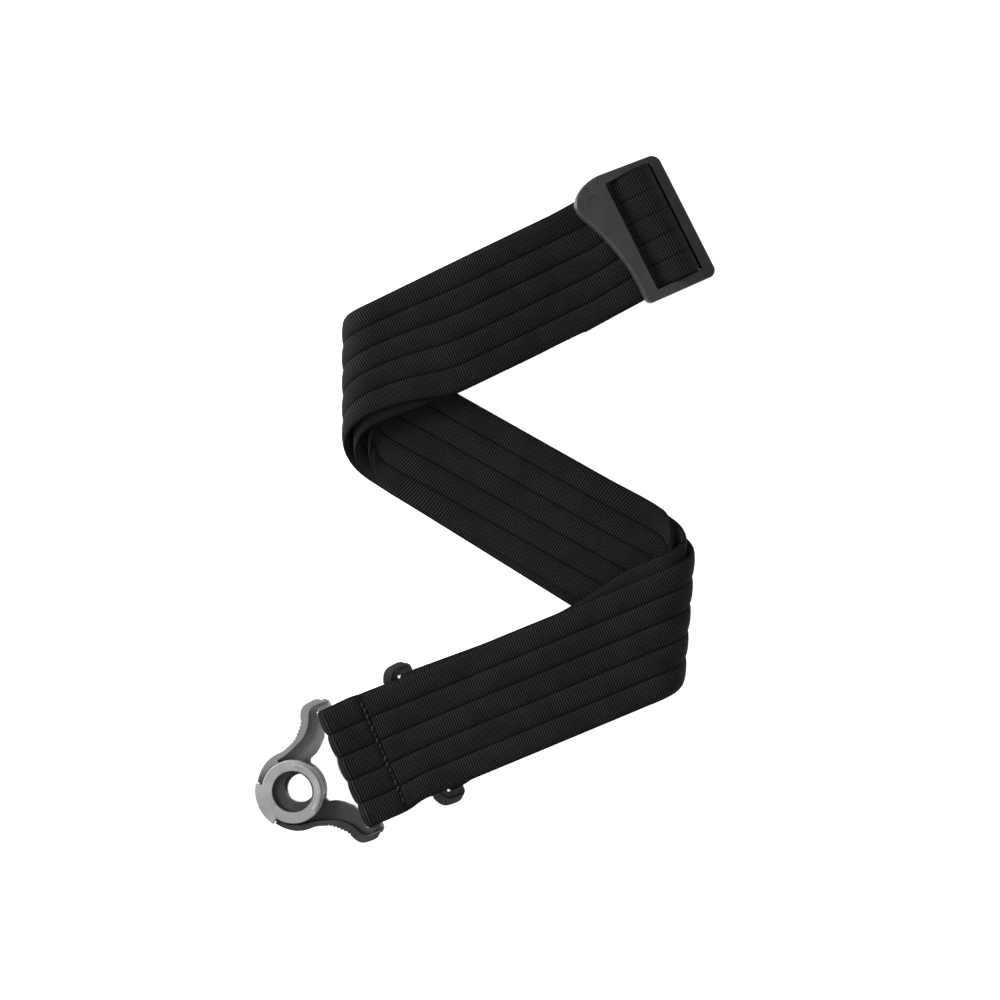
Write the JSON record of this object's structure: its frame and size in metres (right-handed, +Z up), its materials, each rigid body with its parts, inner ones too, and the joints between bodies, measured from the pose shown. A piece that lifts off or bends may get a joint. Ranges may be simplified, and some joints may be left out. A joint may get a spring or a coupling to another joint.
{
  "type": "guitar strap",
  "caption": "Padded webbing shoulder strap with a slider and a squeeze lock for a strap button at each end, folded in a flat Z.",
  "frame": {"origin": "middle of the folded strap in plan, on the surface it lies on", "axes": "+Z up, the webbing ends and locks towards -X and -Y, the slider towards +X and +Y; the folds bend about lines along Y"},
  "size_m": [0.192, 0.2864, 0.0204],
  "materials": {
    "webbing": "ribbed woven nylon",
    "padding": "soft filler",
    "thread": "bonded thread",
    "cap_plastic": "satin moulded",
    "lever_plastic": "satin moulded",
    "frame_plastic": "satin moulded",
    "slider_plastic": "satin moulded",
    "spring_steel": "drawn wire"
  },
  "bodies": {
    "strap": {"webbing_cover": "webbing", "padding_1": "padding", "padding_2": "padding", "padding_3": "padding", "padding_4": "padding", "padding_5": "padding", "lock_a_seam": "thread", "slider_seam": "thread"},
    "lock_a": {"lock_a_frame": "frame_plastic", "lock_a_cap": "cap_plastic", "lock_a_pivot_pin": "spring_steel", "lock_a_return_spring": "spring_steel"},
    "lock_a_left_lever": {"lock_a_left_lever": "lever_plastic"},
    "lock_a_right_lever": {"lock_a_right_lever": "lever_plastic"},
    "lock_b": {"lock_b_frame": "frame_plastic", "lock_b_cap": "cap_plastic", "lock_b_pivot_pin": "spring_steel", "lock_b_return_spring": "spring_steel"},
    "lock_b_left_lever": {"lock_b_left_lever": "lever_plastic"},
    "lock_b_right_lever": {"lock_b_right_lever": "lever_plastic"},
    "slider": {"slider": "slider_plastic"}
  },
  "joints": [
    {"name": "lock_a_swing", "type": "hinge", "parent": "strap", "child": "lock_a", "pos_m": [-0.05621, -0.11162, 0.0132], "axis": [-0.4003, 0.9164, 0], "range_deg": [-20, 90]},
    {"name": "lock_a_left_squeeze", "type": "hinge", "parent": "lock_a", "child": "lock_a_left_lever", "pos_m": [-0.09039, -0.12655, 0.0049], "axis": [0.2201, 0.0962, -0.9707], "range_deg": [0, 3], "stiffness_Nm_per_rad": 1.2, "deforming": ["lock_a_return_spring"]},
    {"name": "lock_a_right_squeeze", "type": "hinge", "parent": "lock_a", "child": "lock_a_right_lever", "pos_m": [-0.09039, -0.12655, 0.0049], "axis": [-0.2201, -0.0962, 0.9707], "range_deg": [0, 3], "stiffness_Nm_per_rad": 1.2},
    {"name": "lock_b_swing", "type": "hinge", "parent": "strap", "child": "lock_b", "pos_m": [-0.02211, -0.09662, 0.004], "axis": [-0.4003, 0.9164, 0], "range_deg": [-45, 0]},
    {"name": "lock_b_left_squeeze", "type": "hinge", "parent": "lock_b", "child": "lock_b_left_lever", "pos_m": [-0.05711, -0.11191, 0.0049], "axis": [0, 0, -1], "range_deg": [0, 3], "stiffness_Nm_per_rad": 1.2, "deforming": ["lock_b_return_spring"]},
    {"name": "lock_b_right_squeeze", "type": "hinge", "parent": "lock_b", "child": "lock_b_right_lever", "pos_m": [-0.05711, -0.11191, 0.0049], "axis": [0, 0, 1], "range_deg": [0, 3], "stiffness_Nm_per_rad": 1.2},
    {"name": "slider_tilt", "type": "hinge", "parent": "strap", "child": "slider", "pos_m": [0.07259, 0.11468, 0.00675], "axis": [-0.4478, 0.8942, 0], "range_deg": [0, 60]}
  ]
}
